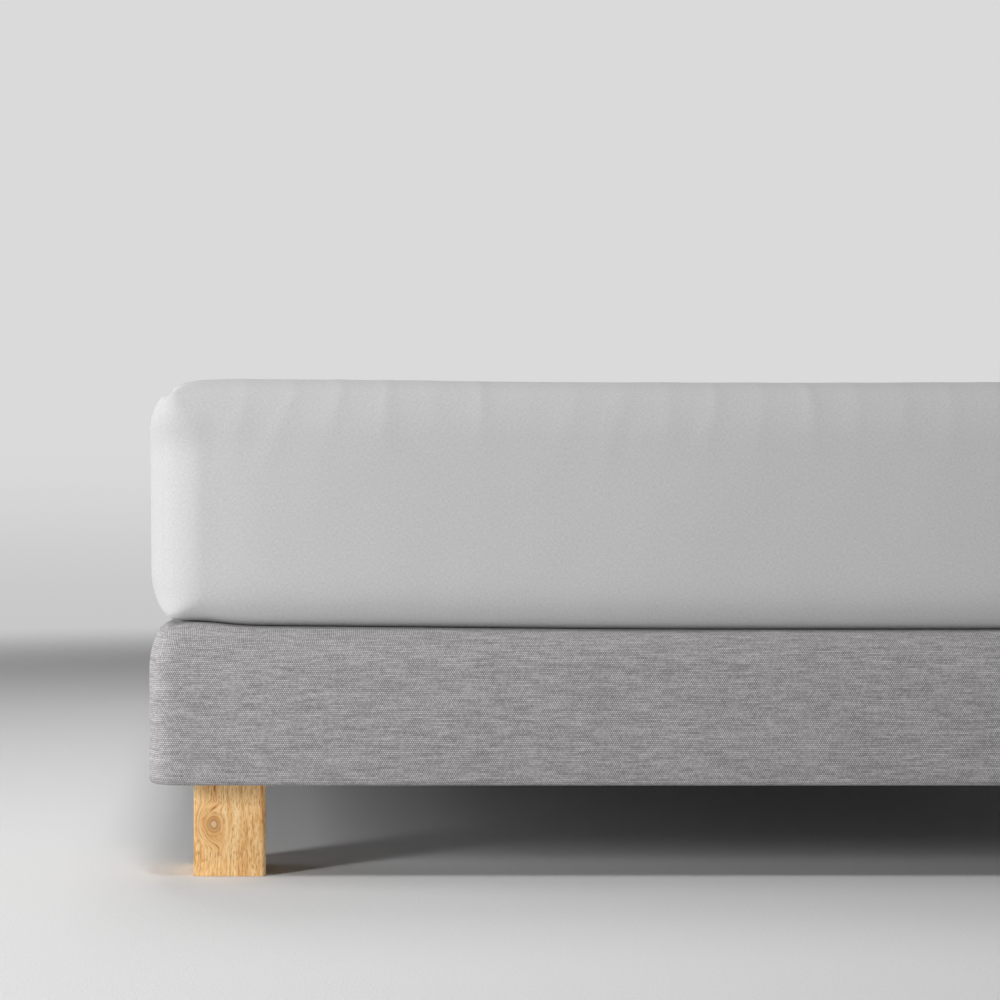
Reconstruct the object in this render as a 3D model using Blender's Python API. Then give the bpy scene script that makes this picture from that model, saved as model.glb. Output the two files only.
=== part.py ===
"""Fitted sheet stretched over a mattress, on an upholstered bed base with four oak block legs.

Metres, +Z up. The origin is on the floor under the middle of the bed. The foot end faces -Y, and
left and right are as seen from the foot. Every soft piece is lofted through rings, rounded
rectangles that run round the bed at one inset and one height. All rings have the same number of
points, so that pieces which lie on each other have matching facets.
"""

import math
from collections import namedtuple

import bmesh
import bpy

# The bed, as it measures over the sheet.
BED_WIDTH = 1.400
BED_LENGTH = 2.000
SHEET_TOP = 0.522  # of the flat middle
REST_HEIGHT = 0.2575  # top of the base where the mattress presses it flat

# The sheet: one cloth with four sewn corners, turned under the mattress to an elastic hem.
SHEET_THICKNESS = 0.0015
SIDE_OUT = 0.0016  # how far the upright sides stand out past the bed's nominal size
TOP_ROLL = (0.0616, 0.0640)  # how far the rolled upper edge reaches in, and down
TOP_ROLL_POWER = 2.25  # over 2, a squarer curve than an ellipse
FOOT_ROLL = (0.0396, 0.0600)  # the lower edge, where it turns under
FOOT_ROLL_POWER = 2.4
FLAP_INSETS = (0.060, 0.100)  # folds of the flap between the lower roll and the hem
HEM_INSET = 0.140  # how far under the mattress the hem lies
SEAM_DEPTH = 0.0015  # how far the sewn corners draw in

# Its corners tighten over the rolled edges, up to where the corner seams end, and open again past
# them, as the elastic draws the hem round.
BED_CORNER = 0.055  # plan radius at half height
TIGHTEST_CORNER = 0.012
TIGHTEST_INSET = 0.0146
TIGHTENING_HEIGHTS = (0.4450, 0.5065)
TIGHTENING_POWER = 1.6  # over 1, slow at first
CORNER_OPENING = 0.90  # how fast the radius grows with the inset, past the tightest

# At half height the head and foot sides fall back towards their corners.
END_EASE = 0.009
END_EASE_REACH = 0.075
END_EASE_RISE = (0.0, 0.25)  # as shares of the height of the mattress
END_EASE_FALL = (0.66, 0.92)

# The mattress, inside the sheet, and how the two lie on the base.
SEAT_GAP = 0.0003  # between pieces that lie on each other
SHEET_FOOT = REST_HEIGHT + SEAT_GAP  # under face of the flap
SIDE_GAP = 0.0008  # between the mattress's side and the sheet
EDGE_EASE = 0.006  # how much rounder its edges and corners are, so that the cloth clears them
STEP_INSETS = (0.006, 0.020)  # past the hem, where it steps down through the hem's opening

# The base: a padded box in woven cloth.
BASE_BOTTOM = 0.100
BASE_OVERHANG = 0.003  # past the sheet, on each side
BASE_CORNER = 0.025
BASE_EDGE_DROP = 0.042  # how far down the rounding of its padded upper edge reaches
BASE_LOWER_EDGE = 0.004
BASE_LOWER_ROUND = 0.3  # where the lower edge bends, as a share of that edge

# The legs: square oak blocks under the base's corners.
LEG_SIDE = 0.075
LEG_SETBACK = 0.045  # from the base's edges
LEG_CHAMFER = 0.0025
LEG_CHAMFER_STEPS = 2

# How the bed has settled: its edges lie lower between the corners, the top is slightly crowned,
# and the base's padding swells beside each rounded corner.
TOP_CROWN = 0.0035
TOP_SETTLE = 0.0040
TOP_FADE = (0.06, 0.21)  # insets over which the edge rises to the flat middle
RIM_LIFT = 0.0040  # of the base's rim near the corners, over its pressed middle
RIM_SETTLE = 0.0040
RIM_FADE = (0.05, 0.13)
SETTLE_REACH = 0.60  # from a corner to the lowest stretch of the edge
CORNER_SWELL = 0.0045
SWELL_PLACE = 0.045  # from the corner, along the edge
SWELL_REACH = 0.035

# Soft hollows and swellings that run round the sides of sheet and mattress.
SideWave = namedtuple("SideWave", "per_x per_y phase depth")  # waves per metre of x and of y
SIDE_WAVES = (
    SideWave(2.1, 2.8, 0.11, 0.0008),
    SideWave(3.9, -2.3, 0.33, 0.0005),
)

# How finely the pieces are faceted.
CORNER_STEPS = 6
WIDTH_STEPS = 18
LENGTH_STEPS = 22
END_CROWDING = 0.62  # how much closer the points of a straight side lie near its corners
ROLL_STEPS = 6
BASE_EDGE_STEPS = 4
SIDE_SHARES = (0.3, 0.7)
TOP_FLAT_INSET = 0.22
TOP_SHOULDER_INSET = 0.11

Station = namedtuple("Station", "inset height corner")


def smooth(value, low=0.0, high=1.0):
    """A soft step from 0 at low to 1 at high."""
    t = min(max((value - low) / (high - low), 0.0), 1.0)
    return t * t * (3.0 - 2.0 * t)


def edge_inset(x, y):
    """How far a point lies in from the nearest edge of the bed."""
    return min(BED_WIDTH / 2 - abs(x), BED_LENGTH / 2 - abs(y))


def corner_distance(x, y):
    """How far a point near an edge lies from the nearest corner, along that edge."""
    return max(BED_WIDTH / 2 - abs(x), BED_LENGTH / 2 - abs(y))


def rim_rise(x, y):
    """How far the padded rim of the base stands above its pressed middle."""
    along = corner_distance(x, y)
    settle = RIM_SETTLE * smooth(along, 0.0, SETTLE_REACH)
    swell = CORNER_SWELL * math.exp(-(((along - SWELL_PLACE) / SWELL_REACH) ** 2))
    return (RIM_LIFT - settle + swell) * (1.0 - smooth(edge_inset(x, y), *RIM_FADE))


def top_drop(x, y):
    """How far the upper edge lies below the flat middle of the top."""
    settle = TOP_SETTLE * smooth(corner_distance(x, y), 0.0, SETTLE_REACH)
    return (TOP_CROWN + settle) * (1.0 - smooth(edge_inset(x, y), *TOP_FADE))


def side_stand(x, y, out_x, out_y):
    """How far the side stands out: its soft waves, less the pull of the sewn corner."""
    waves = sum(wave.depth * math.sin(2 * math.pi * (wave.per_x * x + wave.per_y * y + wave.phase))
                for wave in SIDE_WAVES)
    at_seam = smooth(2.0 * abs(out_x * out_y), 0.9, 1.0)
    return waves - SEAM_DEPTH * at_seam


def mattress_shape(x, y, z, out_x, out_y):
    """Where a nominal point of the sheet or mattress lies once the bed has settled."""
    level = min(max((z - REST_HEIGHT) / (SHEET_TOP - REST_HEIGHT), 0.0), 1.0)
    stand = side_stand(x, y, out_x, out_y) * math.sin(math.pi * smooth(level))
    ease = END_EASE * math.exp(-(((BED_WIDTH / 2 - abs(x)) / END_EASE_REACH) ** 2))
    ease *= smooth(level, *END_EASE_RISE) * (1.0 - smooth(level, *END_EASE_FALL))
    height = z + (1.0 - level) * rim_rise(x, y) - level * top_drop(x, y)
    return x + stand * out_x, y + stand * out_y - math.copysign(ease, y), height


def base_shape(x, y, z, _out_x, _out_y):
    """Where a nominal point of the base lies: its padding takes the form of the rim."""
    level = (z - BASE_BOTTOM) / (REST_HEIGHT - BASE_BOTTOM)
    return x, y, z + level**3 * rim_rise(x, y)


def crowded(share):
    """A share of a straight side, moved towards the nearer end."""
    return share - END_CROWDING * math.sin(2 * math.pi * share) / (2 * math.pi)


def ring_points(station):
    """The points of one ring, counter-clockwise, each with its outward direction."""
    arm_x = BED_WIDTH / 2 - station.inset - station.corner
    arm_y = BED_LENGTH / 2 - station.inset - station.corner
    corners = ((1, 1), (-1, 1), (-1, -1), (1, -1))
    points = []
    for quarter, (side_x, side_y) in enumerate(corners):
        for step in range(CORNER_STEPS + 1):
            angle = math.radians(90.0 * (quarter + step / CORNER_STEPS))
            out_x, out_y = math.cos(angle), math.sin(angle)
            x = side_x * arm_x + station.corner * out_x
            y = side_y * arm_y + station.corner * out_y
            points.append((x, y, out_x, out_y))
        next_x, next_y = corners[(quarter + 1) % len(corners)]
        steps = WIDTH_STEPS if quarter % 2 == 0 else LENGTH_STEPS
        for step in range(1, steps):
            share = crowded(step / steps)
            points.append((x + share * (next_x - side_x) * arm_x,
                           y + share * (next_y - side_y) * arm_y, out_x, out_y))
    return points


def corner_at(inset, height):
    """The corner radius of a ring at that inset and height."""
    start, end = TIGHTENING_HEIGHTS
    risen = min(max((height - start) / (end - start), 0.0), 1.0) ** TIGHTENING_POWER
    closing = min(max(inset / TIGHTEST_INSET, risen), 1.0)
    opening = CORNER_OPENING * max(inset - TIGHTEST_INSET, 0.0)
    return BED_CORNER - (BED_CORNER - TIGHTEST_CORNER) * closing + opening


def rolled_edge(side, flat, depth, drop, power, softer=0.0):
    """Stations of a quarter roll from the upright side to the flat at that height. It reaches that
    far in, and that far down from the flat, or up where the drop is negative. Corners that are
    softer have that much more radius."""
    stations = []
    for step in range(ROLL_STEPS + 1):
        angle = math.radians(90.0 * step / ROLL_STEPS)
        inset = side + depth * (1.0 - math.cos(angle) ** (2.0 / power))
        height = flat - drop * (1.0 - math.sin(angle) ** (2.0 / power))
        stations.append(Station(inset, height, corner_at(inset, height) + softer))
    return stations


def flat_stations(insets, height):
    """Stations at one height, whose corners are the sheet's own."""
    return [Station(inset, height, corner_at(inset, height)) for inset in insets]


def side_stations(side, top, bottom, softer=0.0):
    """Stations of the upright side between the rolls."""
    heights = [top + share * (bottom - top) for share in SIDE_SHARES]
    return [Station(side, height, corner_at(side, height) + softer) for height in heights]


def loft(name, stations, shape, closed, material):
    """One object whose skin of triangles runs through the stations' rings, from the first to the
    last; closed also caps the last."""
    bm = bmesh.new()
    rings = []
    for station in stations:
        ring = []
        for x, y, out_x, out_y in ring_points(station):
            ring.append(bm.verts.new(shape(x, y, station.height, out_x, out_y)))
        rings.append(ring)
    for ring, beyond in zip(rings, rings[1:]):
        for i in range(len(ring)):
            j = (i + 1) % len(ring)
            bm.faces.new((ring[i], beyond[i], beyond[j]))
            bm.faces.new((ring[i], beyond[j], ring[j]))
    bm.faces.new(rings[0])
    if closed:
        bm.faces.new(reversed(rings[-1]))
    bmesh.ops.recalc_face_normals(bm, faces=bm.faces)
    mesh = bpy.data.meshes.new(name)
    bm.to_mesh(mesh)
    bm.free()
    mesh.shade_smooth()
    mesh.materials.append(material)
    piece = bpy.data.objects.new(name, mesh)
    bpy.context.collection.objects.link(piece)
    return piece


def make_material(name, colour, roughness):
    """A plain Principled material; the colour is linear."""
    material = bpy.data.materials.new(name)
    material.use_nodes = True
    shader = material.node_tree.nodes["Principled BSDF"]
    shader.inputs["Base Color"].default_value = (*colour, 1.0)
    shader.inputs["Roughness"].default_value = roughness
    shader.inputs["Metallic"].default_value = 0.0
    return material


def foot_roll_stations():
    """Stations of the sheet's lower roll, from its side to the flap."""
    depth, rise = FOOT_ROLL
    return rolled_edge(-SIDE_OUT, SHEET_FOOT, depth, -rise, FOOT_ROLL_POWER)


def make_fitted_sheet():
    """One shell of cloth: top, rolled edges, sides and the flap turned under to the hem."""
    stations = [
        *flat_stations((TOP_FLAT_INSET, TOP_SHOULDER_INSET), SHEET_TOP),
        *reversed(rolled_edge(-SIDE_OUT, SHEET_TOP, *TOP_ROLL, TOP_ROLL_POWER)),
        *side_stations(-SIDE_OUT, SHEET_TOP - TOP_ROLL[1], SHEET_FOOT + FOOT_ROLL[1]),
        *foot_roll_stations(),
        *flat_stations((*FLAP_INSETS, HEM_INSET), SHEET_FOOT),
    ]
    cloth = make_material("cotton_jersey", (0.62, 0.62, 0.62), 0.9)
    sheet = loft("fitted_sheet", stations, mattress_shape, False, cloth)
    shell = sheet.modifiers.new("cloth_thickness", "SOLIDIFY")
    shell.thickness = SHEET_THICKNESS
    shell.offset = -1.0
    shell.use_even_offset = True


def make_mattress():
    """One filled form. Below, it lies on the flap, and its middle fills the hem's opening."""
    skin = SHEET_THICKNESS + SEAT_GAP
    side = SHEET_THICKNESS + SIDE_GAP - SIDE_OUT
    top = SHEET_TOP - skin
    on_flap = SHEET_FOOT + skin
    depth, drop = (reach - skin + EDGE_EASE for reach in TOP_ROLL)
    rise = FOOT_ROLL[1] - skin + EDGE_EASE
    lower_roll = rolled_edge(side, on_flap, FLAP_INSETS[0] - side, -rise, FOOT_ROLL_POWER, EDGE_EASE)
    last_turn, opening = (HEM_INSET + step for step in STEP_INSETS)
    stations = [
        *flat_stations((TOP_FLAT_INSET, TOP_SHOULDER_INSET), top),
        *reversed(rolled_edge(side, top, depth, drop, TOP_ROLL_POWER, EDGE_EASE)),
        *side_stations(side, top - drop, on_flap + rise, EDGE_EASE),
        *lower_roll[:-1],
        *flat_stations((*FLAP_INSETS, HEM_INSET, last_turn), on_flap),
        *flat_stations((opening,), SHEET_FOOT),
    ]
    ticking = make_material("ticking", (0.78, 0.77, 0.74), 0.85)
    loft("mattress", stations, mattress_shape, True, ticking)


def make_bed_base():
    """The padded box, from its lower edge up: tight sides, a soft upper edge and the flat top,
    whose rings lie under the sheet's own."""
    side = -BASE_OVERHANG
    lower_bend = BASE_LOWER_ROUND * BASE_LOWER_EDGE
    contact, seat = foot_roll_stations()[-2:]
    stations = [
        Station(side + BASE_LOWER_EDGE, BASE_BOTTOM, BASE_CORNER),
        Station(side + lower_bend, BASE_BOTTOM + lower_bend, BASE_CORNER),
        Station(side, BASE_BOTTOM + BASE_LOWER_EDGE, BASE_CORNER),
    ]
    for step in range(BASE_EDGE_STEPS):
        angle = math.radians(90.0 * step / BASE_EDGE_STEPS)
        in_share = 1.0 - math.cos(angle)
        inset = side + (contact.inset - side) * in_share
        height = REST_HEIGHT - BASE_EDGE_DROP * (1.0 - math.sin(angle))
        corner = BASE_CORNER + (contact.corner - BASE_CORNER) * in_share
        stations.append(Station(inset, height, corner))
    flat = (contact.inset, seat.inset, *FLAP_INSETS, HEM_INSET, HEM_INSET + STEP_INSETS[-1])
    stations += flat_stations(flat, REST_HEIGHT)
    woven = make_material("woven_upholstery", (0.31, 0.30, 0.305), 0.95)
    loft("bed_base", stations, base_shape, True, woven)


def make_legs():
    """Four oak blocks, eased on all edges, standing on the floor."""
    oak = make_material("oiled_oak", (0.62, 0.40, 0.19), 0.55)
    height = BASE_BOTTOM - SEAT_GAP
    reach = BASE_OVERHANG - LEG_SETBACK - LEG_SIDE / 2
    for end, side_y in (("foot", -1), ("head", 1)):
        for hand, side_x in (("left", -1), ("right", 1)):
            place = (side_x * (BED_WIDTH / 2 + reach), side_y * (BED_LENGTH / 2 + reach), height / 2)
            bpy.ops.mesh.primitive_cube_add(size=1.0, location=place)
            leg = bpy.context.object
            leg.name = leg.data.name = f"leg_{end}_{hand}"
            leg.scale = (LEG_SIDE, LEG_SIDE, height)
            bpy.ops.object.transform_apply(location=False, rotation=False, scale=True)
            easing = leg.modifiers.new("eased_edges", "BEVEL")
            easing.width = LEG_CHAMFER
            easing.segments = LEG_CHAMFER_STEPS
            leg.data.materials.append(oak)


for old in list(bpy.data.objects):
    bpy.data.objects.remove(old)
make_fitted_sheet()
make_mattress()
make_bed_base()
make_legs()
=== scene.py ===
"""The looks of a fitted sheet on its mattress and bed base: four oak legs, a base padded and
covered in a grey melange weave, the mattress, and the sheet stretched over it with its corner
seams and the soft pulls along its upper edge. Metres, +Z up; the foot end faces -Y."""

import math
import random
from collections import namedtuple

import bpy
import numpy as np
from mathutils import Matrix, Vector, noise


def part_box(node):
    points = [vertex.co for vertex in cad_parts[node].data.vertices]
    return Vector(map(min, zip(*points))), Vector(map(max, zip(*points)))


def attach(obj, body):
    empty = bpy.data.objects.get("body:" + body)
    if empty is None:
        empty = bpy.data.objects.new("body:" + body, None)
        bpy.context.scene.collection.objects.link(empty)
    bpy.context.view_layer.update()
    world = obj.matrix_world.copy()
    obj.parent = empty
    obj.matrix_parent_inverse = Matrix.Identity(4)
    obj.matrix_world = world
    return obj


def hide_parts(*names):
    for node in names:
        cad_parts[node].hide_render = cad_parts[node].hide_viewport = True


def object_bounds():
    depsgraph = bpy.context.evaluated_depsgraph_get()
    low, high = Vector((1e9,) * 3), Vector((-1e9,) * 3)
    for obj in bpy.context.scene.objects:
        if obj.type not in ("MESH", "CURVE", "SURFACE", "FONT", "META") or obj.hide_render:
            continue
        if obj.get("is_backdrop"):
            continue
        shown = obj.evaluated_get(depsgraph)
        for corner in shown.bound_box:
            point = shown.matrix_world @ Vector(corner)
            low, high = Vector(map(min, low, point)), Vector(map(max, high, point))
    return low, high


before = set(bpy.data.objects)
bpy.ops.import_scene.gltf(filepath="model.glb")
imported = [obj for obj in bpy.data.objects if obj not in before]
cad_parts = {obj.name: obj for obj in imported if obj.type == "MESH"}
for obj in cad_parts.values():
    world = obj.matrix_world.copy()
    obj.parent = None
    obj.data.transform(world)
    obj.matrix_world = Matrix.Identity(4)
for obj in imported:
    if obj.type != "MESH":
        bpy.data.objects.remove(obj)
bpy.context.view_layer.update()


# Legs ------------------------------------------------------------------------------------------
# Square blocks sawn from solid oak, planed and oiled, with the inner upright edges rounded over and
# the others eased. Each is screwed up into the base's frame from above, so no fixing shows.

LEG_NODES = ("leg_foot_left", "leg_foot_right", "leg_head_left", "leg_head_right")
LEG_INNER_ROUND = 0.0050
LEG_OUTER_EASE = 0.0012
LEG_END_EASE = 0.0010
LEG_EASE_STEPS = 4

# Where each leg's one knot comes out, from its left edge and over the floor, and its radius. Oak
# shows one in every few blocks, so two legs have theirs outside.
Knot = namedtuple("Knot", "from_left height radius")
LEG_KNOTS = {
    "leg_foot_left": Knot(0.0197, 0.0542, 0.0038),
    "leg_foot_right": Knot(0.0560, 0.0320, 0.0024),
    "leg_head_left": Knot(-0.0300, 0.1500, 0.0030),
    "leg_head_right": Knot(0.1080, -0.0400, 0.0030),
}

# The tones of the wood, of its pores, of the stain over a knot, and of a knot from its heart
# outwards.
OAK_TONES = ((0.34, "c98e50"), (0.44, "e9b673"), (0.53, "f7cd90"), (0.66, "fbdda9"))
OAK_PORE = "b98954"
OAK_STAIN = "dcab7c"
OAK_KNOT = ((0.00, "dcc3a0", 0.85), (0.15, "cfae84", 0.85), (0.23, "85572e", 0.80),
            (0.32, "c08a50", 0.60), (0.42, "a5703c", 0.55), (0.52, "d9a264", 0.40),
            (0.62, "b98046", 0.35), (0.74, "d9a566", 0.25), (0.86, "c98e50", 0.20),
            (1.00, "d9a86c", 0.00))


def linear(hex_colour, alpha=1.0):
    """The linear colour, with alpha, of an sRGB hex value."""
    channels = [int(hex_colour[i:i + 2], 16) / 255 for i in (0, 2, 4)]
    return (*[c / 12.92 if c <= 0.04045 else ((c + 0.055) / 1.055) ** 2.4 for c in channels], alpha)


def add_node(material, kind, **values):
    """Adds a shader node with its settings and links. Each value goes to the setting or the input
    of its name, or, as in0 or in1, to the input of that number. A node given as a value is linked
    from its first output."""
    node = material.node_tree.nodes.new("ShaderNode" + kind)
    for name, value in values.items():
        if hasattr(node, name):
            setattr(node, name, value)
            continue
        numbered = name[:2] == "in" and name[2:].isdigit()
        socket = node.inputs[int(name[2:]) if numbered else name.replace("_", " ")]
        if isinstance(value, bpy.types.Node):
            value = value.outputs[0]
        if isinstance(value, bpy.types.NodeSocket):
            material.node_tree.links.new(value, socket)
        else:
            socket.default_value = value
    return node


def new_material(name):
    """An empty node material."""
    material = bpy.data.materials.new(name)
    material.use_nodes = True
    material.node_tree.nodes.clear()
    return material


def set_stops(ramp_node, stops):
    """Gives a colour ramp its stops: each a place from 0 to 1, an sRGB hex colour and an alpha."""
    elements = ramp_node.color_ramp.elements
    while len(elements) < len(stops):
        elements.new(1.0)
    for element, (place, hex_colour, *alpha) in zip(elements, stops):
        element.position = place
        element.color = linear(hex_colour, *alpha)


def make_oak(name, knot_x, knot_z, knot_radius):
    """Oak, flat-sawn, planed and oiled: warm straw with rusty growth rings that wander and close
    round a knot, short dark pores along them, and a soft sheen where the oil has filled them."""
    material = new_material(name)
    place = add_node(material, "TexCoord").outputs["Object"]
    axes = add_node(material, "SeparateXYZ", Vector=place).outputs
    # The grain wanders by some millimetres over a block's height, and by part of one in between.
    slow_map = add_node(material, "Mapping", Vector=place, Scale=(24.0, 24.0, 13.0))
    slow = add_node(material, "TexNoise", Vector=slow_map, Scale=1.0, Detail=2.0)
    quick_map = add_node(material, "Mapping", Vector=place, Scale=(150.0, 150.0, 75.0))
    quick = add_node(material, "TexNoise", Vector=quick_map, Scale=1.0, Detail=1.0)
    offset = add_node(material, "Math", operation="MULTIPLY_ADD", in0=quick, in1=0.0030,
                      in2=-0.0015 - knot_x)
    nudged = add_node(material, "Math", operation="ADD", in0=axes["X"], in1=offset)
    across = add_node(material, "Math", operation="MULTIPLY_ADD", in0=slow, in1=0.010, in2=nudged)
    across = add_node(material, "Math", operation="SUBTRACT", in0=across, in1=0.005)
    up = add_node(material, "Math", operation="MULTIPLY_ADD", in0=axes["Z"], in1=0.80,
                  in2=-0.80 * knot_z)
    from_knot = add_node(material, "CombineXYZ", X=across, Y=up)
    radius = add_node(material, "VectorMath", operation="LENGTH", in0=from_knot).outputs["Value"]
    # Near the knot the grain runs in rings, and past it in lines up the block.
    ringed = add_node(material, "MapRange", interpolation_type="SMOOTHSTEP", Value=radius,
                      From_Min=1.6 * knot_radius, From_Max=5.5 * knot_radius, To_Min=1.0,
                      To_Max=0.0)
    grain = add_node(material, "Mix", Factor=ringed, in2=across, in3=radius)

    ring_map = add_node(material, "CombineXYZ", X=grain, Y=axes["Y"], Z=axes["Z"])
    # Growth rings about 4 mm apart, the figure between them, and pores. Real pores are 0.3 mm wide,
    # drawn at 0.7 mm to show.
    rings_at = add_node(material, "Mapping", Vector=ring_map, Scale=(260.0, 60.0, 12.0))
    rings = add_node(material, "TexNoise", Vector=rings_at, Scale=1.0, Detail=2.0, Distortion=0.4)
    figure_at = add_node(material, "Mapping", Vector=ring_map, Scale=(520.0, 220.0, 62.0))
    figure = add_node(material, "TexNoise", Vector=figure_at, Scale=1.0, Detail=2.0, Distortion=0.5)
    pores_at = add_node(material, "Mapping", Vector=ring_map, Scale=(900.0, 900.0, 150.0))
    pores = add_node(material, "TexNoise", Vector=pores_at, Scale=1.0, Detail=1.0)
    half_tone = add_node(material, "Math", operation="MULTIPLY", in0=figure, in1=0.48)
    tone = add_node(material, "Math", operation="MULTIPLY_ADD", in0=rings, in1=0.52, in2=half_tone)
    wood = add_node(material, "ValToRGB", Fac=tone)
    set_stops(wood, OAK_TONES)
    pore_share = add_node(material, "MapRange", Value=pores, From_Min=0.56, From_Max=0.68,
                          To_Min=0.0, To_Max=0.60)
    pored = add_node(material, "Mix", data_type="RGBA", blend_type="MULTIPLY", Factor=pore_share,
                     in6=wood, in7=linear(OAK_PORE))
    # The knot has a pale heart in a dark bark ring, with a brown ring or two outside it, and the
    # wood over it is stained.
    knot_reach = add_node(material, "Math", operation="DIVIDE", in0=radius, in1=4.2 * knot_radius)
    knot = add_node(material, "ValToRGB", Fac=knot_reach)
    set_stops(knot, OAK_KNOT)
    patchy = add_node(material, "MapRange", Value=figure, From_Min=0.35, From_Max=0.60, To_Min=0.55,
                      To_Max=1.0)
    knot_share = add_node(material, "Math", operation="MULTIPLY", in0=knot.outputs["Alpha"],
                          in1=patchy)
    knotted = add_node(material, "Mix", data_type="RGBA", Factor=knot_share, in6=pored.outputs[2],
                       in7=knot)
    off_stain = add_node(material, "Math", operation="ABSOLUTE", in0=across)
    stain_width = add_node(material, "MapRange", interpolation_type="SMOOTHSTEP", Value=off_stain,
                           From_Min=0.2 * knot_radius, From_Max=1.6 * knot_radius, To_Min=1.0,
                           To_Max=0.0)
    stain_height = add_node(material, "MapRange", interpolation_type="SMOOTHSTEP", Value=up,
                            From_Min=1.2 * knot_radius, From_Max=3.0 * knot_radius)
    streaky = add_node(material, "MapRange", Value=figure, From_Min=0.62, From_Max=0.44)
    stain = add_node(material, "Math", operation="MULTIPLY", in0=stain_width, in1=stain_height)
    stain = add_node(material, "Math", operation="MULTIPLY", in0=stain, in1=streaky)
    stained = add_node(material, "Mix", data_type="RGBA", blend_type="MULTIPLY", Factor=stain,
                       in6=knotted.outputs[2], in7=linear(OAK_STAIN))
    relief = add_node(material, "Math", operation="MULTIPLY_ADD", in0=pores, in1=-1.2, in2=tone)
    bump = add_node(material, "Bump", Height=relief, Strength=0.40, Distance=0.0006)
    surface = add_node(material, "BsdfPrincipled", Base_Color=stained.outputs[2], Roughness=0.50,
                       Normal=bump)
    add_node(material, "OutputMaterial", Surface=surface)
    return material


for leg_name in LEG_NODES:
    low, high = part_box(leg_name)
    middle = (low + high) / 2
    bpy.ops.object.select_all(action="DESELECT")
    bpy.ops.mesh.primitive_cube_add(size=1.0, location=middle)
    leg = bpy.context.object
    leg.name = leg.data.name = leg_name.replace("leg", "oak_leg")
    leg.scale = high - low
    bpy.ops.object.transform_apply(location=True, rotation=False, scale=True)
    widths = (("inner", LEG_INNER_ROUND), ("outer", LEG_OUTER_EASE), ("foot", LEG_END_EASE))
    for edges, width in widths:
        bpy.ops.object.mode_set(mode="EDIT")
        bpy.ops.mesh.select_mode(type="EDGE")
        bpy.ops.mesh.select_all(action="DESELECT")
        bpy.ops.object.mode_set(mode="OBJECT")
        for edge in leg.data.edges:
            start, end = (leg.data.vertices[i].co for i in edge.vertices)
            stands = abs(end.z - start.z) > 0.5 * (high.z - low.z)
            is_inner = abs(start.x) < abs(middle.x)
            at_foot = max(start.z, end.z) < low.z + 1e-5
            edge.select = {"inner": stands and is_inner, "outer": stands and not is_inner,
                           "foot": at_foot}[edges]
        bpy.ops.object.mode_set(mode="EDIT")
        bpy.ops.mesh.bevel(offset=width, segments=LEG_EASE_STEPS, affect="EDGES")
        bpy.ops.object.mode_set(mode="OBJECT")
    bpy.ops.object.shade_smooth_by_angle(angle=math.radians(35))
    knot = LEG_KNOTS[leg_name]
    leg.data.materials.append(make_oak("oiled_" + leg_name.replace("leg", "oak"),
                                       low.x + knot.from_left, knot.height, knot.radius))
    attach(leg, "root")
    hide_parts(leg_name)


# Bed base --------------------------------------------------------------------------------------
# A timber box padded with wadding and covered in a coarse grey upholstery weave, pulled tight
# round the lower edge and soft over the upper one, where the mattress presses it.

base_low, base_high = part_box("bed_base")
sheet_low, sheet_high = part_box("fitted_sheet")
BED_WIDTH = 1.400
BED_LENGTH = 2.000
REST_HEIGHT = 0.2575  # top of the base where the mattress presses it flat
BASE_SIDE = BED_WIDTH / 2 - base_high.x  # its sides stand out past the bed's nominal size
BASE_CORNER = 0.025
BASE_CORNER_OPENING = 0.007  # how much larger its corners' radius is at the top
BASE_EDGE_DROP = 0.042
BASE_LOWER_EDGE = 0.005
BASE_FLAT_INSET = 0.019  # where the soft upper edge begins
BASE_TOP_RINGS = ((0.040, 0.034), (0.060, 0.050), (0.100, 0.081), (0.160, 0.137))  # inset, radius
BASE_UNEVEN = 0.0006  # how far the wadding makes its faces and edges swell and sink
BASE_UNEVEN_SIZE = 0.055
BASE_LOWER_STEPS = 4
BASE_SIDE_STEPS = 9
BASE_EDGE_STEPS = 9

# How its rim has settled under the mattress: it lies lower between the corners, and the padding
# swells beside each corner.
RIM_LIFT = 0.0040
RIM_SETTLE = 0.0040
RIM_FADE = (0.05, 0.13)
SETTLE_REACH = 0.60
CORNER_SWELL = 0.0045
SWELL_PLACE = 0.045
SWELL_REACH = 0.035

# Its cloth. Real threads are about 1 mm apart. They are drawn 2 mm apart, so that they show.
BASE_WARP_PITCH = 0.0021
BASE_WEFT_PITCH = 0.0020

# The columns of points that run down a rounded box. A column lies at its arm times the half size
# of the box without its corners, plus its outward direction times the corner's radius.
Columns = namedtuple("Columns", "arm_x arm_y out_x out_y")


def smooth(value, low=0.0, high=1.0):
    """A soft step from 0 at low to 1 at high."""
    t = np.clip((value - low) / (high - low), 0.0, 1.0)
    return t * t * (3.0 - 2.0 * t)


def make_columns(corner_steps, side_steps, crowding=1.0):
    """Columns counter-clockwise round the box from its far right corner, with the steps that the
    head, left, foot and right sides take. A crowding over 1 draws each corner's columns closer
    together about its middle."""
    rows = []
    corners = ((1, 1), (-1, 1), (-1, -1), (1, -1))
    for quarter, (side_x, side_y) in enumerate(corners):
        for step in range(corner_steps + 1):
            off_middle = 2.0 * step / corner_steps - 1.0
            turn = 0.5 + 0.5 * math.copysign(abs(off_middle) ** crowding, off_middle)
            angle = math.radians(90.0 * (quarter + turn))
            rows.append((side_x, side_y, math.cos(angle), math.sin(angle)))
        next_x, next_y = corners[(quarter + 1) % len(corners)]
        steps = side_steps[quarter]
        for step in range(1, steps):
            share = step / steps
            rows.append((side_x + share * (next_x - side_x), side_y + share * (next_y - side_y),
                         rows[-1][2], rows[-1][3]))
    return Columns(*np.array(rows).T)


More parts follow.
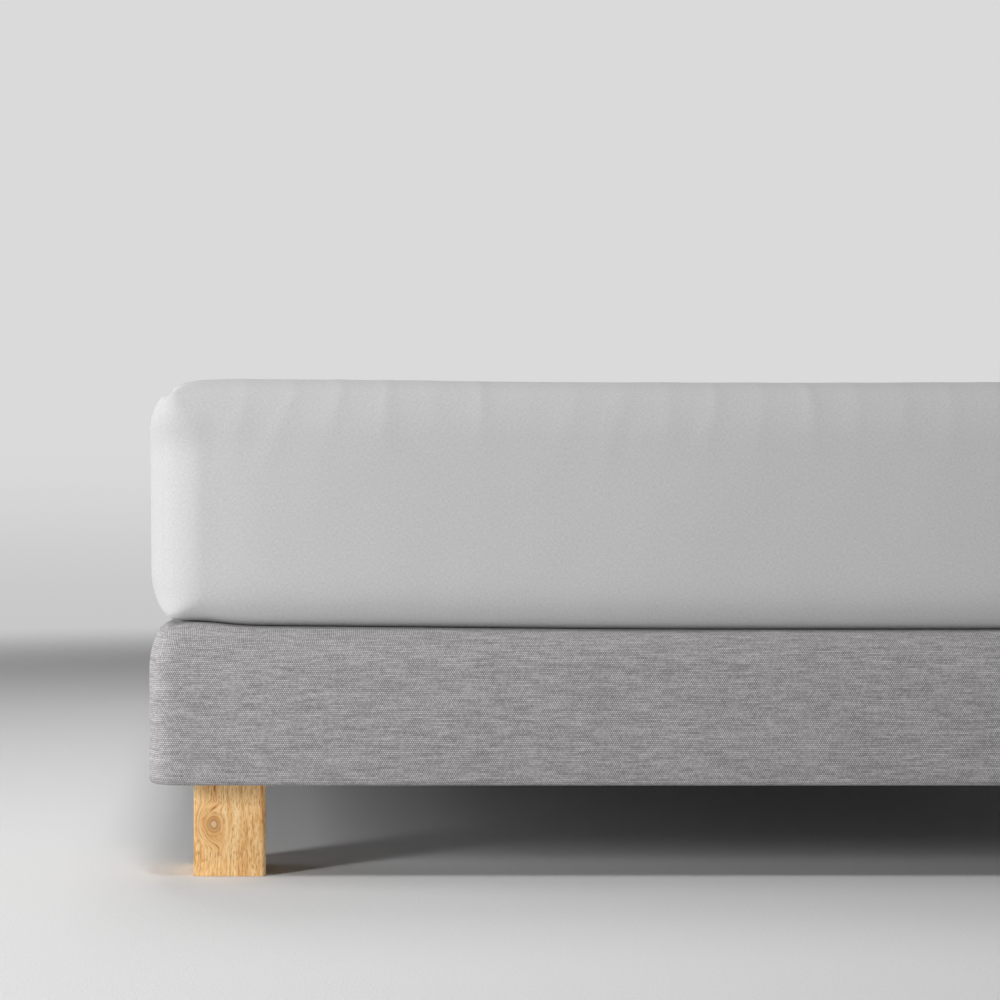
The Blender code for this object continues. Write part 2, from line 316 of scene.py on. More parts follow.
def ring(columns, inset, corner):
    """Where the columns lie, in plan, on a rounded rectangle inside the bed's nominal size."""
    x = columns.arm_x * (BED_WIDTH / 2 - inset - corner) + columns.out_x * corner
    y = columns.arm_y * (BED_LENGTH / 2 - inset - corner) + columns.out_y * corner
    return x, y


def rim_rise(x, y):
    """How far the padded rim of the base stands above its pressed middle."""
    from_side, from_end = BED_WIDTH / 2 - abs(x), BED_LENGTH / 2 - abs(y)
    inset, along = np.minimum(from_side, from_end), np.maximum(from_side, from_end)
    settle = RIM_SETTLE * smooth(along, 0.0, SETTLE_REACH)
    swell = CORNER_SWELL * np.exp(-(((along - SWELL_PLACE) / SWELL_REACH) ** 2))
    return (RIM_LIFT - settle + swell) * (1.0 - smooth(inset, *RIM_FADE))


def unevenness(points, size, seed):
    """Smooth noise, from about -1 to 1, for each point of an array, with swellings of that size."""
    shift = Vector((seed * 7.3, seed * 3.1, seed * 5.7))
    values = [noise.noise(Vector(point) / size + shift) for point in points.reshape(-1, 3)]
    return np.array(values).reshape(points.shape[:-1])


def make_skin(name, rows, faces_more=(), vertices_more=(), uv=None):
    """A mesh object of quads between rows of points that run round the box, with the rows from the
    top down, and more vertices and faces after them. A uv gives each column's distance along the
    cloth and each row's distance down it, for the quads between the rows."""
    rows = np.asarray(rows)
    count_rows, count = rows.shape[:2]
    index = np.arange(count_rows * count).reshape(count_rows, count)
    beside = np.roll(index, -1, axis=1)
    quads = np.stack([index[:-1], index[1:], beside[1:], beside[:-1]], axis=-1).reshape(-1, 4)
    vertices = rows.reshape(-1, 3).tolist() + list(vertices_more)
    mesh = bpy.data.meshes.new(name)
    mesh.from_pydata(vertices, [], quads.tolist() + list(faces_more))
    if uv is not None:
        layer = mesh.uv_layers.new(name="weave")
        along, down = uv
        next_along = np.append(along[1:], 2 * along[-1] - along[-2])
        corners = np.stack([
            np.stack(np.broadcast_arrays(along, down[:-1, None]), axis=-1),
            np.stack(np.broadcast_arrays(along, down[1:, None]), axis=-1),
            np.stack(np.broadcast_arrays(next_along, down[1:, None]), axis=-1),
            np.stack(np.broadcast_arrays(next_along, down[:-1, None]), axis=-1)], axis=2)
        values = np.zeros((len(mesh.loops), 2))
        values[:corners.size // 2] = corners.reshape(-1, 2)
        layer.data.foreach_set("uv", values.ravel())
    mesh.validate()
    piece = bpy.data.objects.new(name, mesh)
    bpy.context.collection.objects.link(piece)
    mesh.shade_smooth()
    return piece


def caps(rows):
    """The faces that close a skin, over its first row and under its last."""
    count_rows, count = rows.shape[:2]
    return range(count), range((count_rows - 1) * count, count_rows * count)[::-1]


def base_side():
    """The base's side from its underside up to its flat top: each ring's inset, height, corner
    radius and the outward share of its normal."""
    rows = []
    for step in range(BASE_LOWER_STEPS + 1):
        angle = math.radians(-90.0 + 90.0 * step / BASE_LOWER_STEPS)
        rows.append((BASE_SIDE + BASE_LOWER_EDGE * (1 - math.cos(angle)),
                     base_low.z + BASE_LOWER_EDGE * (1 + math.sin(angle)), BASE_CORNER,
                     math.cos(angle)))
    side_bottom, side_top = base_low.z + BASE_LOWER_EDGE, REST_HEIGHT - BASE_EDGE_DROP
    for step in range(1, BASE_SIDE_STEPS):
        height = side_bottom + (side_top - side_bottom) * step / BASE_SIDE_STEPS
        rows.append((BASE_SIDE, height, BASE_CORNER, 1.0))
    for step in range(BASE_EDGE_STEPS + 1):
        angle = math.radians(90.0 * step / BASE_EDGE_STEPS)
        in_share = 1 - math.cos(angle)
        rows.append((BASE_SIDE + (BASE_FLAT_INSET - BASE_SIDE) * in_share,
                     REST_HEIGHT - BASE_EDGE_DROP * (1 - math.sin(angle)),
                     BASE_CORNER + BASE_CORNER_OPENING * in_share, math.cos(angle)))
    for inset, corner in BASE_TOP_RINGS:
        rows.append((inset, REST_HEIGHT, corner, 0.0))
    return rows


base_columns = make_columns(corner_steps=10, side_steps=(90, 130, 90, 130))
base_rows = []
for inset, height, corner, out_share in base_side():
    x, y = ring(base_columns, inset, corner)
    level = (height - base_low.z) / (REST_HEIGHT - base_low.z)
    z = height + level ** 3 * rim_rise(x, y)
    base_rows.append(np.stack([x, y, z], axis=-1))
base_rows = np.array(base_rows)
out_shares = np.array([out_share for *_, out_share in base_side()])[:, None]
uneven = BASE_UNEVEN * unevenness(base_rows, BASE_UNEVEN_SIZE, seed=1) * out_shares
base_rows[..., 0] += uneven * base_columns.out_x
base_rows[..., 1] += uneven * base_columns.out_y

girth = np.linalg.norm(np.diff(base_rows[:, 0], axis=0), axis=-1)
base_down = np.concatenate([[0.0], np.cumsum(girth)])
outline = ring(base_columns, BASE_SIDE, BASE_CORNER)
base_along = np.concatenate([[0.0], np.cumsum(np.hypot(*np.diff(np.array(outline), axis=1)))])
base = make_skin("upholstered_base", base_rows[::-1], caps(base_rows),
                 uv=(base_along, base_down[::-1]))


def make_upholstery():
    """Melange upholstery weave: a dull, slightly hairy cloth of light and dark fibres. Each weft
    thread has slubs and fades of its own along its run, and the warp shows as fine flecks."""
    material = new_material("melange_upholstery_weave")
    uv = add_node(material, "UVMap", uv_map="weave").outputs["UV"]
    axes = add_node(material, "SeparateXYZ", Vector=uv).outputs
    # Threads waver by a third of their width, over about two centimetres.
    wobble = add_node(material, "TexNoise", Vector=uv, Scale=60.0, Detail=1.0)
    sway = add_node(material, "Math", operation="MULTIPLY_ADD", in0=wobble, in1=0.6, in2=-0.3)
    warp = add_node(material, "Math", operation="MULTIPLY_ADD", in0=axes["X"],
                    in1=1.0 / BASE_WARP_PITCH, in2=sway)
    weft = add_node(material, "Math", operation="MULTIPLY_ADD", in0=axes["Y"],
                    in1=1.0 / BASE_WEFT_PITCH, in2=sway)
    weft_number = add_node(material, "Math", operation="FLOOR", in0=weft)
    # Every second weft is set over by half a warp thread, as in a twill.
    stagger = add_node(material, "Math", operation="MULTIPLY_ADD", in0=weft_number, in1=0.5,
                       in2=warp)
    warp_number = add_node(material, "Math", operation="FLOOR", in0=stagger)
    cell = add_node(material, "CombineXYZ", X=warp_number, Y=weft_number)
    fibre = add_node(material, "TexWhiteNoise", noise_dimensions="2D", Vector=cell)
    slub_place = add_node(material, "CombineXYZ", X=axes["X"], Y=weft_number)
    slub_map = add_node(material, "Mapping", Vector=slub_place, Scale=(36.0, 5.3, 1.0))
    slubs = add_node(material, "TexNoise", Vector=slub_map, Scale=1.0, Detail=1.0)
    cloud_map = add_node(material, "Mapping", Vector=uv, Scale=(9.0, 60.0, 1.0))
    cloud = add_node(material, "TexNoise", Vector=cloud_map, Scale=1.0, Detail=2.0)
    over_under = add_node(material, "Math", operation="PINGPONG", in0=stagger, in1=0.5)
    between = add_node(material, "Math", operation="PINGPONG", in0=weft, in1=0.5)
    tone = add_node(material, "Math", operation="MULTIPLY", in0=over_under, in1=0.78)
    for part, share in ((between, 0.50), (fibre.outputs["Value"], 0.12), (slubs, 0.34),
                        (cloud, 0.10)):
        tone = add_node(material, "Math", operation="MULTIPLY_ADD", in0=part, in1=share, in2=tone)
    colour = add_node(material, "ValToRGB", Fac=tone)
    set_stops(colour, ((0.30, "5a5859"), (0.52, "7e7c7d"), (0.66, "9b999a"), (0.90, "c6c4c5")))
    bump = add_node(material, "Bump", Height=tone, Strength=0.35, Distance=0.0006)
    surface = add_node(material, "BsdfPrincipled", Base_Color=colour, Roughness=0.92,
                       Sheen_Weight=0.12, Normal=bump)
    add_node(material, "OutputMaterial", Surface=surface)
    return material


base.data.materials.append(make_upholstery())
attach(base, "root")
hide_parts("bed_base")


# Mattress --------------------------------------------------------------------------------------
# A sprung mattress in a plain undyed ticking, wholly inside the sheet. Only its form tells, as the
# sheet takes it, so it has no quilting or border of its own.

# The form that it and the sheet share, given as the sheet's outer face. Its edges are rolled, and
# its corners tighten up to where the sheet's corner seam ends, and open again past it.
SIDE_OUT = 0.0036  # how far the upright sides stand out past the bed's nominal size
TOP_ROLL = (0.0635, 0.0640)  # how far the rolled edge reaches in, and down
TOP_ROLL_POWER = 2.25  # over 2, a squarer curve than an ellipse
FOOT_ROLL = (0.0415, 0.0600)
FOOT_ROLL_POWER = 2.4
BED_CORNER = 0.055
TIGHTEST_CORNER = 0.012
TIGHTEST_INSET = 0.0146
TIGHTENING_HEIGHTS = (0.4450, 0.5065)
TIGHTENING_POWER = 1.6  # over 1, slow at first
CORNER_OPENING = 0.90  # how fast the radius grows with the inset, past the tightest
END_EASE = 0.009  # how far the head and foot sides fall back towards their corners, at mid-height
END_EASE_REACH = 0.075
END_EASE_RISE = (0.0, 0.25)  # shares of the height over which it comes, and goes again
END_EASE_FALL = (0.66, 0.92)
END_EASE_FADE = (0.50, 0.90)  # distance from the bed's middle, over which the long sides join in
REST_GAP = 0.0003

# How its top has settled: it is lower at its edges, most of all between the corners.
TOP_CROWN = 0.0035
TOP_SETTLE = 0.0040
TOP_FADE = (0.06, 0.21)

MATTRESS_INSIDE = 0.0040  # how far inside the sheet's outer face the mattress lies
MATTRESS_SOFTER = 0.006  # how much larger its corners' radius is
MATTRESS_TOP_INSETS = (0.220, 0.110)
MATTRESS_FOOT_INSETS = (0.100, 0.160)

bed_top = sheet_high.z
bed_foot = REST_HEIGHT + REST_GAP


def top_drop(x, y):
    """How far the upper edge of the mattress lies below its flat middle."""
    from_side, from_end = BED_WIDTH / 2 - abs(x), BED_LENGTH / 2 - abs(y)
    inset, along = np.minimum(from_side, from_end), np.maximum(from_side, from_end)
    settle = TOP_SETTLE * smooth(along, 0.0, SETTLE_REACH)
    return (TOP_CROWN + settle) * (1.0 - smooth(inset, *TOP_FADE))


def corner_at(inset, height):
    """The corner radius in plan of the sheet's outer face, at that inset and height."""
    start, end = TIGHTENING_HEIGHTS
    risen = min(max((height - start) / (end - start), 0.0), 1.0) ** TIGHTENING_POWER
    closing = min(max(inset / TIGHTEST_INSET, risen), 1.0)
    opening = CORNER_OPENING * max(inset - TIGHTEST_INSET, 0.0)
    return BED_CORNER - (BED_CORNER - TIGHTEST_CORNER) * closing + opening


def rolled(depth, drop, power, steps):
    """A quarter of a rolled edge, from its flat end to its upright one: how far in from the upright
    and how far off the flat each point lies, and the flat and upright shares of its normal."""
    points = []
    for step in range(steps + 1):
        angle = math.radians(90.0 - 90.0 * step / steps)
        in_share, off_share = math.cos(angle) ** (2 / power), math.sin(angle) ** (2 / power)
        out, up = in_share ** (power - 1) / depth, off_share ** (power - 1) / drop
        points.append((depth * (1 - in_share), drop * (1 - off_share), out / math.hypot(out, up),
                       up / math.hypot(out, up)))
    return points


def side_profile(roll_steps, side_steps, foot_steps):
    """The bed's side from the upper roll's start to the lower roll's end: each ring's inset and
    height, and the outward and upward shares of its normal."""
    rows = []
    for inset, off, out_share, up_share in rolled(*TOP_ROLL, TOP_ROLL_POWER, roll_steps):
        rows.append((inset - SIDE_OUT, bed_top - off, out_share, up_share))
    roll_end, turn_start = bed_top - TOP_ROLL[1], bed_foot + FOOT_ROLL[1]
    for step in range(1, side_steps):
        rows.append((-SIDE_OUT, roll_end + (turn_start - roll_end) * step / side_steps, 1.0, 0.0))
    for inset, off, out_share, up_share in rolled(*FOOT_ROLL, FOOT_ROLL_POWER, foot_steps)[::-1]:
        rows.append((inset - SIDE_OUT, bed_foot + off, out_share, -up_share))
    return rows


def settled_rings(columns, profile, inside=0.0, softer=0.0):
    """Where a profile's rings lie on the settled bed, that far inside the sheet's outer face, and
    with the radius of their corners that much softer."""
    rows = []
    for inset, height, out_share, up_share in profile:
        corner = corner_at(inset, height) - inside * out_share + softer
        x, y = ring(columns, inset + inside * out_share, corner)
        level = min(max((height - REST_HEIGHT) / (bed_top - REST_HEIGHT), 0.0), 1.0)
        z = height - inside * up_share + (1 - level) * rim_rise(x, y) - level * top_drop(x, y)
        ease = END_EASE * np.exp(-(((BED_WIDTH / 2 - abs(x)) / END_EASE_REACH) ** 2))
        ease *= smooth(level, *END_EASE_RISE) * (1.0 - smooth(level, *END_EASE_FALL))
        ease *= smooth(abs(y), *END_EASE_FADE)
        rows.append(np.stack([x, y - np.sign(y) * ease, z], axis=-1))
    return np.array(rows)


mattress_columns = make_columns(corner_steps=8, side_steps=(40, 56, 40, 56))
mattress_profile = [(inset, bed_top, 0.0, 1.0) for inset in MATTRESS_TOP_INSETS]
mattress_profile += side_profile(roll_steps=10, side_steps=6, foot_steps=8)
mattress_profile += [(inset, bed_foot, 0.0, -1.0) for inset in MATTRESS_FOOT_INSETS]
mattress_rows = settled_rings(mattress_columns, mattress_profile, MATTRESS_INSIDE, MATTRESS_SOFTER)
mattress = make_skin("mattress_ticking", mattress_rows, caps(mattress_rows))


def make_ticking():
    """Cotton ticking: a close, dull weave in undyed cream with a faint lengthwise rib."""
    material = new_material("cotton_ticking")
    place = add_node(material, "TexCoord").outputs["Object"]
    # Real ribs are 1 mm apart. They are drawn 3 mm apart, so that they show.
    rib_map = add_node(material, "Mapping", Vector=place, Scale=(300.0, 14.0, 300.0))
    rib = add_node(material, "TexNoise", Vector=rib_map, Scale=1.0, Detail=2.0)
    colour = add_node(material, "ValToRGB", Fac=rib)
    set_stops(colour, ((0.3, "cfc9bb"), (0.7, "e6e1d6")))
    bump = add_node(material, "Bump", Height=rib, Strength=0.3, Distance=0.0004)
    surface = add_node(material, "BsdfPrincipled", Base_Color=colour, Roughness=0.9, Normal=bump)
    add_node(material, "OutputMaterial", Surface=surface)
    return material


mattress.data.materials.append(make_ticking())
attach(mattress, "root")
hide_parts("mattress")


# Fitted sheet ----------------------------------------------------------------------------------
# One piece of close, plain-woven cotton with its four corners sewn into pockets, stretched over
# the mattress and turned under it to an elastic hem. The tension draws it into short soft pulls
# that hang from the upper edge, evenly spaced, with shallow hollows and swellings below them.

CLOTH_THICKNESS = 0.0010
TOP_INSETS = (0.116, 0.100, 0.086, 0.073)  # rings on the top, before the upper roll
UNDER_INSETS = (0.054, 0.074, 0.096, 0.118, 0.140)  # rings of the flap, the last at its hem
SEAM_STEPS = 24
SIDE_STEPS = (96, 128, 288, 128)  # head, left, foot and right
SIDE_MERGES = (1, 2, 3, 2)  # how many of them are joined into one on top
MERGED_INSETS = (0.134, 0.170)
RIGHT, HEAD, LEFT, FOOT = range(4)

# The corner seams: a faint furrow along the stitches, with the cloth puckered beside it. Each ends
# under the upper roll in a notch, from which a crease runs off along the side panel and fades.
SEAM_DEPTH = 0.0003
SEAM_WIDTH = 0.0022
PUCKER_PITCH = 0.013
PUCKER_HEIGHT = 0.00015
PUCKER_REACH = 0.010
SEWN_FADE = 0.010  # how far either side of its end the seam fades
CREASE_DEPTHS = (0.0040, 0.0046, 0.0058, 0.0044)  # head right, head left, foot left, foot right
CREASE_HALF_WIDTH = 0.0055
CREASE_REACH = 0.065
CREASE_WALL = 0.0030  # how soon it ends on the head or foot panel
CREASE_FALL = 0.05  # how far it drops for each metre along the side

# The pulls: soft ridges that start over the upper roll and fade down the side, leaning and
# widening as they go.
Pull = namedtuple("Pull", "place height reach lean")  # place along the side from its left corner
PULL_PITCH = 0.0482
FIRST_PULL = 0.0967
PULL_HEIGHT = 0.00075
PULL_START = (-0.005, 0.030)  # where it rises, down the cloth
PULL_WIDTH = 0.0065
PULL_WIDENS_FROM = 0.040
PULL_WIDENING = 0.05
PULL_LEANS_FROM = 0.055
PULL_FADE = ((0.045, 0.4), (0.065, 1.2))  # from and to: down the cloth, plus a share of its reach
FOOT_PULLS = (  # height as a share of PULL_HEIGHT, reach below the top, lean to the left
    (0.75, 0.070, 0.20), (0.85, 0.095, 0.38), (1.00, 0.062, 0.30), (1.00, 0.062, 0.10),
    (0.40, 0.050, 0.10), (1.00, 0.052, 0.06), (0.35, 0.050, 0.10), (0.50, 0.072, 0.30),
    (0.40, 0.090, 0.30), (0.60, 0.055, 0.10), (0.85, 0.072, 0.28), (0.60, 0.070, 0.20),
    (1.00, 0.050, 0.03), (0.60, 0.055, 0.10), (0.50, 0.060, 0.15), (0.60, 0.055, 0.10),
)

# Shallow hollows on the foot side, placed where the cloth slackens between pulls. One with a
# negative depth is a swelling.
Hollow = namedtuple("Hollow", "place below half_width half_height depth lean")
FOOT_HOLLOWS = (
    Hollow(0.063, 0.093, 0.010, 0.016, 0.00045, 0.10),
    Hollow(0.091, 0.108, 0.016, 0.008, 0.00020, 0.00),
    Hollow(0.186, 0.124, 0.013, 0.013, 0.00022, 0.20),
    Hollow(0.283, 0.118, 0.014, 0.011, 0.00022, 0.00),
    Hollow(0.072, 0.160, 0.010, 0.010, 0.00018, 0.00),
    Hollow(0.069, 0.215, 0.014, 0.012, 0.00020, 0.60),
    Hollow(0.483, 0.107, 0.007, 0.030, 0.00030, 0.30),
    Hollow(0.526, 0.136, 0.012, 0.011, 0.00022, 0.00),
    Hollow(0.104, 0.168, 0.045, 0.004, 0.00012, 0.00),
    Hollow(0.049, 0.170, 0.006, 0.090, -0.00030, 0.00),
    Hollow(0.031, 0.170, 0.007, 0.090, 0.00030, 0.00),
    Hollow(0.205, 0.110, 0.070, 0.060, -0.00110, 0.30),
    Hollow(0.530, 0.190, 0.065, 0.060, -0.00110, 0.10),
    Hollow(0.850, 0.150, 0.080, 0.060, -0.00090, 0.00),
)

# How uneven the cloth is everywhere: finely, as it slackens, and broadly, over the filling. It
# stays plain where it lies on the base.
MOTTLE_HEIGHT = 0.00035
MOTTLE_SIZE = 0.050
TOP_UNEVEN = 0.0009
TOP_UNEVEN_SIZE = 0.22
FREE_HEIGHTS = (0.0, 0.12)  # shares of the bed's height over which the cloth comes free

sheet_columns = make_columns(SEAM_STEPS, SIDE_STEPS, crowding=1.5)
count = len(sheet_columns.arm_x)
sheet_profile = [(inset, bed_top, 0.0, 1.0) for inset in TOP_INSETS]
sheet_profile += side_profile(roll_steps=26, side_steps=14, foot_steps=11)
sheet_profile += [(inset, bed_foot, 0.0, -1.0) for inset in UNDER_INSETS]
rows = settled_rings(sheet_columns, sheet_profile)
insets, heights, out_shares, up_shares = np.array(sheet_profile).T[:, :, None]

# How far down the cloth each row lies from where the upper roll starts, and the seam's end too.
girth = np.cumsum(np.hypot(np.diff(insets, axis=0), np.diff(heights, axis=0)))
girth = np.concatenate([[0.0], girth])
below_edge = girth - girth[len(TOP_INSETS)]
at_seam_end = np.argmin(abs(insets - TIGHTEST_INSET) + 1.0 * (up_shares <= 0.0))
seam_end_below = below_edge[at_seam_end]

# The columns where the four seams run, the side that each column is on, how far along its side
# it lies from the seam before it, and each point's distance from the left corner of its side.
outline = np.array(ring(sheet_columns, 0.0, BED_CORNER))
steps_along = np.hypot(*(np.roll(outline, -1, axis=1) - outline))
run = np.concatenate([[0.0], np.cumsum(steps_along)])[:-1]
seam_columns = [sum(SIDE_STEPS[:quarter]) + quarter * SEAM_STEPS + SEAM_STEPS // 2
                for quarter in range(4)]
side_of = np.searchsorted(seam_columns, np.arange(count), side="right") % 4
run_along = (run - run[seam_columns][(side_of - 1) % 4]) % (run[-1] + steps_along[-1])
on_end = np.isin(side_of, (HEAD, FOOT))
place = np.where(on_end, rows[..., 0] + BED_WIDTH / 2, rows[..., 1] + BED_LENGTH / 2)


def side_pulls(side):
    """The pulls of one side: those listed for the foot side, and like ones, at random, past them
    and on the other sides."""
    draw = random.Random(40 + side)
    length = BED_WIDTH if side in (HEAD, FOOT) else BED_LENGTH
    pulls = []
    for number in range(int((length - 2 * FIRST_PULL) / PULL_PITCH) + 1):
        start = FIRST_PULL + number * PULL_PITCH
        if side == FOOT and number < len(FOOT_PULLS):
            share, reach, lean = FOOT_PULLS[number]
        else:
            share, reach = draw.uniform(0.35, 1.0), draw.uniform(0.045, 0.100)
            lean = draw.uniform(-0.1, 0.3) * (1 if start < length / 2 else -1)
        pulls.append(Pull(start, share * PULL_HEIGHT, reach, lean))
    return pulls


def pull_lift(pull, below):
    """How far a pull lifts each point: it comes up over the roll and fades down the side."""
    drift = pull.lean * np.maximum(below - PULL_LEANS_FROM, 0.0)
    width = PULL_WIDTH + PULL_WIDENING * np.maximum(below - PULL_WIDENS_FROM, 0.0)
    ridge = np.exp(-((place - pull.place + drift) / width) ** 2)
    fade_start, fade_end = (start + share * pull.reach for start, share in PULL_FADE)
    fade = 1.0 - smooth(below, fade_start, fade_end)
    return pull.height * ridge * smooth(below, *PULL_START) * fade


def hollow_lift(hollow, below):
    """How far a hollow sinks each point, or a swelling lifts it."""
    down = below - hollow.below
    across = (place - hollow.place + hollow.lean * down) / hollow.half_width
    return -hollow.depth * np.exp(-across ** 2 - (down / hollow.half_height) ** 2)


def broad_lift(points):
    """How far the filling swells or sinks the cloth at each point."""
    return TOP_UNEVEN * unevenness(points, TOP_UNEVEN_SIZE, seed=3)


def seam_lift(below):
    """How far each point is lifted by the corner seams: a furrow, puckers, and the end's crease."""
    seam_points = rows[:, seam_columns, :2]
    distances = np.linalg.norm(rows[:, None, :, :2] - seam_points[:, :, None], axis=-1)
    from_seam, nearest_seam = distances.min(axis=1), distances.argmin(axis=1)
    sewn = smooth(below, seam_end_below - SEWN_FADE, seam_end_below + SEWN_FADE)
    pucker = np.cos(2 * math.pi * below / PUCKER_PITCH) * np.exp(-(from_seam / PUCKER_REACH) ** 2)
    furrow = np.exp(-(from_seam / SEAM_WIDTH) ** 2)
    off_crease = (below - seam_end_below - CREASE_FALL * from_seam) / CREASE_HALF_WIDTH
    along_crease = from_seam / np.where(on_end, CREASE_WALL, CREASE_REACH)
    crease = np.array(CREASE_DEPTHS)[nearest_seam] * np.exp(-off_crease ** 2 - along_crease ** 2)
    return sewn * (PUCKER_HEIGHT * pucker - SEAM_DEPTH * furrow) - crease


lift = np.zeros(rows.shape[:2])  # how far each point stands out from the plain form
below = below_edge[:, None]
for side in range(4):
    for pull in side_pulls(side):
        lift += (side_of == side) * pull_lift(pull, below)
for hollow in FOOT_HOLLOWS:
    lift += (side_of == FOOT) * hollow_lift(hollow, below)
lift += MOTTLE_HEIGHT * unevenness(rows, MOTTLE_SIZE, seed=2)
lift += broad_lift(rows)
lift += seam_lift(below)
level = np.clip((heights - REST_HEIGHT) / (bed_top - REST_HEIGHT), 0.0, 1.0)
lift *= smooth(level, *FREE_HEIGHTS)
rows[..., 0] += lift * out_shares * sheet_columns.out_x
rows[..., 1] += lift * out_shares * sheet_columns.out_y
rows[..., 2] += lift * up_shares

# The top: two rings with fewer points each, and then a grid between the last ring's sides.
vertices_more, faces_more = [], []
kept = []  # the columns that go on past the first of the two rings
for quarter in range(4):
    first = sum(SIDE_STEPS[:quarter]) + quarter * SEAM_STEPS
    kept += range(first, first + SEAM_STEPS, 2)
    first += SEAM_STEPS
    kept += range(first, first + SIDE_STEPS[quarter], SIDE_MERGES[quarter])


def top_height(x, y):
    """The height of the cloth on top, settled towards its edges and gently uneven."""
    points = np.stack([x, y, np.full(np.shape(x), bed_top)], axis=-1)
    return bed_top - top_drop(x, y) + broad_lift(points)


outer, outer_columns = list(range(count)), list(range(count))
for inset, inner_columns in zip(MERGED_INSETS, (kept, kept[::2])):
    x, y = ring(Columns(*(values[inner_columns] for values in sheet_columns)), inset,
                corner_at(inset, bed_top))
    inner = [len(rows) * count + len(vertices_more) + k for k in range(len(x))]
    vertices_more += np.stack([x, y, top_height(x, y)], axis=-1).tolist()
    places = [outer_columns.index(column) for column in inner_columns] + [len(outer)]
    for k, (start, end) in enumerate(zip(places, places[1:])):
        edge = [outer[index % len(outer)] for index in range(start, end + 1)]
        faces_more.append((*edge, inner[(k + 1) % len(inner)], inner[k]))
    outer, outer_columns = inner, inner_columns
marks = [outer_columns.index(column) for column in seam_columns]
last_ring = np.stack([x, y], axis=-1)


def stretch(first, last):
    """The last ring's places from one seam to the next, both included."""
    steps = (last - first) % len(outer)
    return [(first + k) % len(outer) for k in range(steps + 1)]


# The grid's rows run from the head to the foot, and its columns from the right to the left.
head, left = stretch(marks[0], marks[1]), stretch(marks[1], marks[2])
foot, right = stretch(marks[2], marks[3])[::-1], stretch(marks[3], marks[0])[::-1]
s = np.linspace(0, 1, len(head))[None, :, None]
t = np.linspace(0, 1, len(left))[:, None, None]
patch = ((1 - t) * last_ring[head][None] + t * last_ring[foot][None]
         + (1 - s) * last_ring[right][:, None] + s * last_ring[left][:, None]
         - (1 - s) * (1 - t) * last_ring[head[0]] - s * (1 - t) * last_ring[head[-1]]
         - (1 - s) * t * last_ring[foot[0]] - s * t * last_ring[foot[-1]])
inside = patch[1:-1, 1:-1]
grid = np.zeros(patch.shape[:2], int)
grid[0], grid[-1] = np.array(outer)[head], np.array(outer)[foot]
grid[:, 0], grid[:, -1] = np.array(outer)[right], np.array(outer)[left]
first_inside = len(rows) * count + len(vertices_more)
grid[1:-1, 1:-1] = first_inside + np.arange(inside[..., 0].size).reshape(inside.shape[:2])
inside_height = top_height(inside[..., 0], inside[..., 1])
vertices_more += np.dstack([inside, inside_height]).reshape(-1, 3).tolist()
quads = np.stack([grid[:-1, :-1], grid[:-1, 1:], grid[1:, 1:], grid[1:, :-1]], axis=-1)
faces_more += quads.reshape(-1, 4).tolist()
sheet = make_skin("cotton_sheet", rows, faces_more, vertices_more)

# The weave follows the cloth: over the top by its own place, and down each side by the distance
# along the edge and down the cloth.
PANEL_OFFSET = 3.0  # sets each panel's threads apart from the next one's
layer = sheet.data.uv_layers.new(name="weave")
uv = np.zeros((len(sheet.data.loops), 2))
vertex_of = np.zeros(len(sheet.data.loops), int)
sheet.data.loops.foreach_get("vertex_index", vertex_of)
co = np.zeros(len(sheet.data.vertices) * 3)
sheet.data.vertices.foreach_get("co", co)
uv[:] = co.reshape(-1, 3)[vertex_of, :2]
column = np.arange(count)  # the skin's first faces are its quads, row by row, four corners each
for corner_number, (row_step, column_step) in enumerate(((0, 0), (1, 0), (1, 1), (0, 1))):
    for row in range(len(TOP_INSETS), len(rows) - 1):
        loops = (row * count + column) * 4 + corner_number
        depth = below_edge[row + row_step] + PANEL_OFFSET * side_of
        here = run_along + column_step * steps_along
        uv[loops, 0] = np.where(on_end, here, depth)
        uv[loops, 1] = np.where(on_end, depth, here)
layer.data.foreach_set("uv", uv.ravel())

bpy.ops.object.select_all(action="DESELECT")
sheet.select_set(True)
bpy.context.view_layer.objects.active = sheet
cloth = sheet.modifiers.new("cloth_thickness", "SOLIDIFY")
cloth.thickness = CLOTH_THICKNESS
cloth.offset = -1.0
bpy.ops.object.modifier_apply(modifier=cloth.name)


def make_cotton():
    """Close plain-woven cotton in a neutral pale grey, washed soft: dull, with a faint bloom at
    grazing angles, and fine threads that differ a little in thickness."""
    material = new_material("plain_woven_cotton")
    uv = add_node(material, "UVMap", uv_map="weave").outputs["UV"]
    # Real threads are 0.3 mm apart. They are drawn 1 mm apart, so that the weave shows.
    weft_map = add_node(material, "Mapping", Vector=uv, Scale=(280.0, 1000.0, 1.0))
    warp_map = add_node(material, "Mapping", Vector=uv, Scale=(1000.0, 280.0, 1.0))
    weft = add_node(material, "TexNoise", Vector=weft_map, Scale=1.0, Detail=0.0)
    warp = add_node(material, "TexNoise", Vector=warp_map, Scale=1.0, Detail=0.0)
    weave = add_node(material, "Mix", Factor=0.5, in2=weft, in3=warp)
    colour = add_node(material, "ValToRGB", Fac=weave)
    set_stops(colour, ((0.30, "aeaeae"), (0.70, "bbbbbb")))
    bump = add_node(material, "Bump", Height=weave, Strength=0.12, Distance=0.0004)
    surface = add_node(material, "BsdfPrincipled", Base_Color=colour, Roughness=0.88,
                       Sheen_Weight=0.10, Normal=bump)
    add_node(material, "OutputMaterial", Surface=surface)
    return material


sheet.data.materials.append(make_cotton())

# Its cut: a rectangle with a square out of each corner. A rolled edge is a shorter way round than
# a sharp one would be, and each corner seam starts a little inside the mattress's edge.
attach(sheet, "root")
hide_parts("fitted_sheet")


